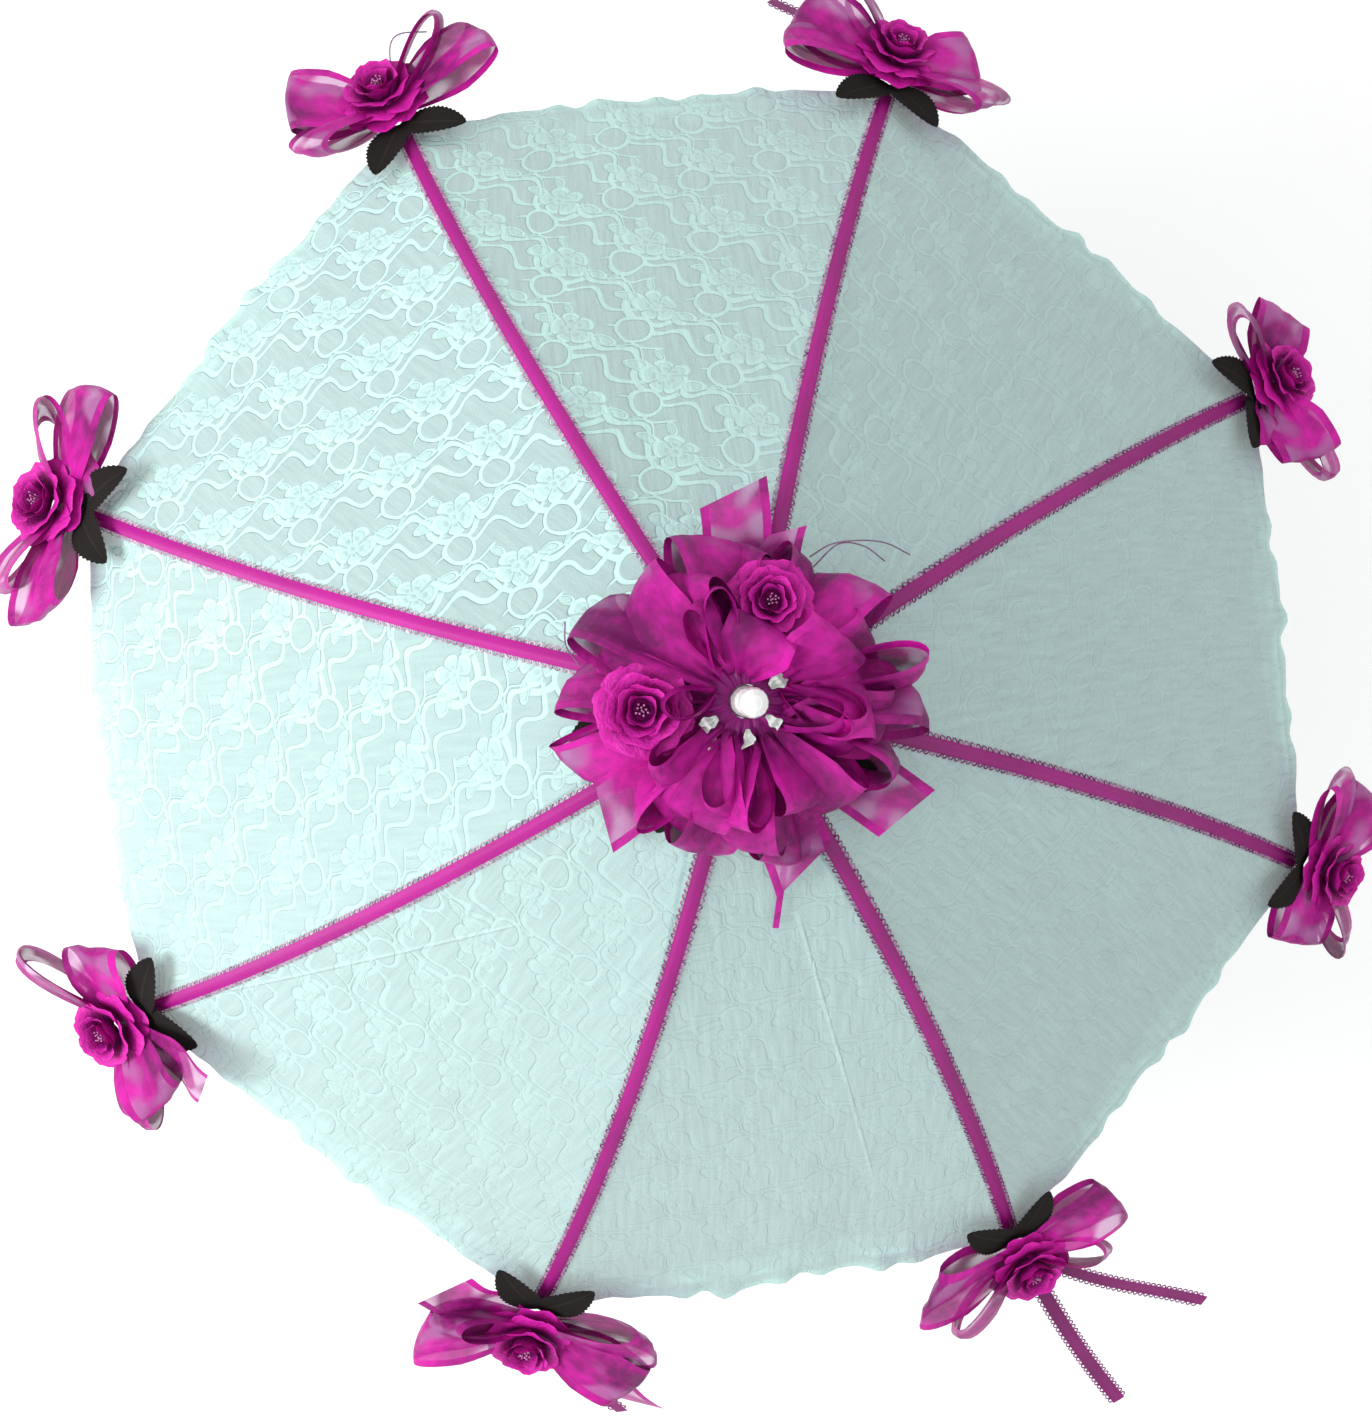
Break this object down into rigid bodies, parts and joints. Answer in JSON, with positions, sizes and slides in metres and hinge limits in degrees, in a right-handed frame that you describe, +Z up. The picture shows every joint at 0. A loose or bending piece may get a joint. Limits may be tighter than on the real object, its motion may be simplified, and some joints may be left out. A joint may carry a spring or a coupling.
{
  "type": "lace parasol",
  "caption": "Open lace parasol, with ribbons along its ribs, a flower and bow at each rib tip, a flower bunch round the ferrule and a folding frame.",
  "frame": {"origin": "middle of the grip, on the shaft line", "axes": "+Z up the shaft to the ferrule, +X along the first rib, +Y a quarter turn on"},
  "size_m": [0.9256, 0.9256, 0.6815],
  "materials": {
    "frame_wire": "white enamel, satin",
    "white_wood": "white lacquer",
    "white_plastic": "white, gloss",
    "mint_lace": "sheer pale mint lace",
    "magenta_satin": "satin ribbon with picot edges",
    "magenta_organza": "sheer organza with satin edges",
    "magenta_petal": "cloth petals"
  },
  "bodies": {
    "shaft": {"shaft": "white_wood", "handle": "white_wood", "ferrule": "white_plastic", "crown": "white_plastic", "stop_pin": "frame_wire", "lace_collar": "mint_lace", "bunch": "magenta_organza", "bunch_rose_1": "magenta_petal", "bunch_rose_2": "magenta_petal"},
    "runner": {"runner": "white_plastic"},
    "upper_catch": {"upper_catch": "frame_wire"},
    "lower_catch": {"lower_catch": "frame_wire"},
    "rib_1": {"rib_1": "frame_wire", "lace_1": "mint_lace", "ribbon_1": "magenta_satin", "bow_1": "magenta_organza", "rose_1": "magenta_petal"},
    "stretcher_1": {"stretcher_1": "frame_wire"},
    "rib_2": {"rib_2": "frame_wire", "lace_2": "mint_lace", "ribbon_2": "magenta_satin", "bow_2": "magenta_organza", "rose_2": "magenta_petal"},
    "stretcher_2": {"stretcher_2": "frame_wire"},
    "rib_3": {"rib_3": "frame_wire", "lace_3": "mint_lace", "ribbon_3": "magenta_satin", "bow_3": "magenta_organza", "rose_3": "magenta_petal"},
    "stretcher_3": {"stretcher_3": "frame_wire"},
    "rib_4": {"rib_4": "frame_wire", "lace_4": "mint_lace", "ribbon_4": "magenta_satin", "bow_4": "magenta_organza", "rose_4": "magenta_petal"},
    "stretcher_4": {"stretcher_4": "frame_wire"},
    "rib_5": {"rib_5": "frame_wire", "lace_5": "mint_lace", "ribbon_5": "magenta_satin", "bow_5": "magenta_organza", "rose_5": "magenta_petal"},
    "stretcher_5": {"stretcher_5": "frame_wire"},
    "rib_6": {"rib_6": "frame_wire", "lace_6": "mint_lace", "ribbon_6": "magenta_satin", "bow_6": "magenta_organza", "rose_6": "magenta_petal"},
    "stretcher_6": {"stretcher_6": "frame_wire"},
    "rib_7": {"rib_7": "frame_wire", "lace_7": "mint_lace", "ribbon_7": "magenta_satin", "bow_7": "magenta_organza", "rose_7": "magenta_petal"},
    "stretcher_7": {"stretcher_7": "frame_wire"},
    "rib_8": {"rib_8": "frame_wire", "lace_8": "mint_lace", "ribbon_8": "magenta_satin", "bow_8": "magenta_organza", "rose_8": "magenta_petal"},
    "stretcher_8": {"stretcher_8": "frame_wire"}
  },
  "joints": [
    {"name": "runner_slide", "type": "slide", "parent": "shaft", "child": "runner", "axis": [0, 0, 1], "range_m": [-0.22692, 0], "deforming": ["lace_1", "lace_2", "lace_3", "lace_4", "lace_5", "lace_6", "lace_7", "lace_8", "bow_1", "bow_2", "bow_3", "bow_4", "bow_5", "bow_6", "bow_7", "bow_8", "upper_catch", "lower_catch"]},
    {"name": "rib_hinge_1", "type": "hinge", "parent": "shaft", "child": "rib_1", "pos_m": [0.011, 0, 0.565], "axis": [0, 1, 0], "range_deg": [0, 54.05]},
    {"name": "stretcher_hinge_1", "type": "hinge", "parent": "rib_1", "child": "stretcher_1", "pos_m": [0.19508, 0, 0.47898], "axis": [0, 1, 0], "range_deg": [-108.1, 0]},
    {"name": "rib_hinge_2", "type": "hinge", "parent": "shaft", "child": "rib_2", "pos_m": [0.00778, 0.00778, 0.565], "axis": [-0.7071, 0.7071, 0], "range_deg": [0, 54.05]},
    {"name": "stretcher_hinge_2", "type": "hinge", "parent": "rib_2", "child": "stretcher_2", "pos_m": [0.13794, 0.13794, 0.47898], "axis": [-0.7071, 0.7071, 0], "range_deg": [-108.1, 0]},
    {"name": "rib_hinge_3", "type": "hinge", "parent": "shaft", "child": "rib_3", "pos_m": [0, 0.011, 0.565], "axis": [-1, 0, 0], "range_deg": [0, 54.05]},
    {"name": "stretcher_hinge_3", "type": "hinge", "parent": "rib_3", "child": "stretcher_3", "pos_m": [0, 0.19508, 0.47898], "axis": [-1, 0, 0], "range_deg": [-108.1, 0]},
    {"name": "rib_hinge_4", "type": "hinge", "parent": "shaft", "child": "rib_4", "pos_m": [-0.00778, 0.00778, 0.565], "axis": [-0.7071, -0.7071, 0], "range_deg": [0, 54.05]},
    {"name": "stretcher_hinge_4", "type": "hinge", "parent": "rib_4", "child": "stretcher_4", "pos_m": [-0.13794, 0.13794, 0.47898], "axis": [-0.7071, -0.7071, 0], "range_deg": [-108.1, 0]},
    {"name": "rib_hinge_5", "type": "hinge", "parent": "shaft", "child": "rib_5", "pos_m": [-0.011, 0, 0.565], "axis": [0, -1, 0], "range_deg": [0, 54.05]},
    {"name": "stretcher_hinge_5", "type": "hinge", "parent": "rib_5", "child": "stretcher_5", "pos_m": [-0.19508, 0, 0.47898], "axis": [0, -1, 0], "range_deg": [-108.1, 0]},
    {"name": "rib_hinge_6", "type": "hinge", "parent": "shaft", "child": "rib_6", "pos_m": [-0.00778, -0.00778, 0.565], "axis": [0.7071, -0.7071, 0], "range_deg": [0, 54.05]},
    {"name": "stretcher_hinge_6", "type": "hinge", "parent": "rib_6", "child": "stretcher_6", "pos_m": [-0.13794, -0.13794, 0.47898], "axis": [0.7071, -0.7071, 0], "range_deg": [-108.1, 0]},
    {"name": "rib_hinge_7", "type": "hinge", "parent": "shaft", "child": "rib_7", "pos_m": [0, -0.011, 0.565], "axis": [1, 0, 0], "range_deg": [0, 54.05]},
    {"name": "stretcher_hinge_7", "type": "hinge", "parent": "rib_7", "child": "stretcher_7", "pos_m": [0, -0.19508, 0.47898], "axis": [1, 0, 0], "range_deg": [-108.1, 0]},
    {"name": "rib_hinge_8", "type": "hinge", "parent": "shaft", "child": "rib_8", "pos_m": [0.00778, -0.00778, 0.565], "axis": [0.7071, 0.7071, 0], "range_deg": [0, 54.05]},
    {"name": "stretcher_hinge_8", "type": "hinge", "parent": "rib_8", "child": "stretcher_8", "pos_m": [0.13794, -0.13794, 0.47898], "axis": [0.7071, 0.7071, 0], "range_deg": [-108.1, 0]},
    {"name": "upper_catch_press", "type": "slide", "parent": "shaft", "child": "upper_catch", "axis": [-0.9239, -0.3827, 0], "range_m": [0, 0.0032], "stiffness_N_per_m": 300, "springref_m": -0.001},
    {"name": "lower_catch_press", "type": "slide", "parent": "shaft", "child": "lower_catch", "axis": [-0.9239, -0.3827, 0], "range_m": [0, 0.0032], "stiffness_N_per_m": 300, "springref_m": -0.001}
  ],
  "couplings": [
    {"joint": "rib_hinge_1", "follows": "runner_slide", "rad_per_m": -4.1533},
    {"joint": "stretcher_hinge_1", "follows": "runner_slide", "rad_per_m": 8.3067},
    {"joint": "rib_hinge_2", "follows": "runner_slide", "rad_per_m": -4.1533},
    {"joint": "stretcher_hinge_2", "follows": "runner_slide", "rad_per_m": 8.3067},
    {"joint": "rib_hinge_3", "follows": "runner_slide", "rad_per_m": -4.1533},
    {"joint": "stretcher_hinge_3", "follows": "runner_slide", "rad_per_m": 8.3067},
    {"joint": "rib_hinge_4", "follows": "runner_slide", "rad_per_m": -4.1533},
    {"joint": "stretcher_hinge_4", "follows": "runner_slide", "rad_per_m": 8.3067},
    {"joint": "rib_hinge_5", "follows": "runner_slide", "rad_per_m": -4.1533},
    {"joint": "stretcher_hinge_5", "follows": "runner_slide", "rad_per_m": 8.3067},
    {"joint": "rib_hinge_6", "follows": "runner_slide", "rad_per_m": -4.1533},
    {"joint": "stretcher_hinge_6", "follows": "runner_slide", "rad_per_m": 8.3067},
    {"joint": "rib_hinge_7", "follows": "runner_slide", "rad_per_m": -4.1533},
    {"joint": "stretcher_hinge_7", "follows": "runner_slide", "rad_per_m": 8.3067},
    {"joint": "rib_hinge_8", "follows": "runner_slide", "rad_per_m": -4.1533},
    {"joint": "stretcher_hinge_8", "follows": "runner_slide", "rad_per_m": 8.3067}
  ]
}
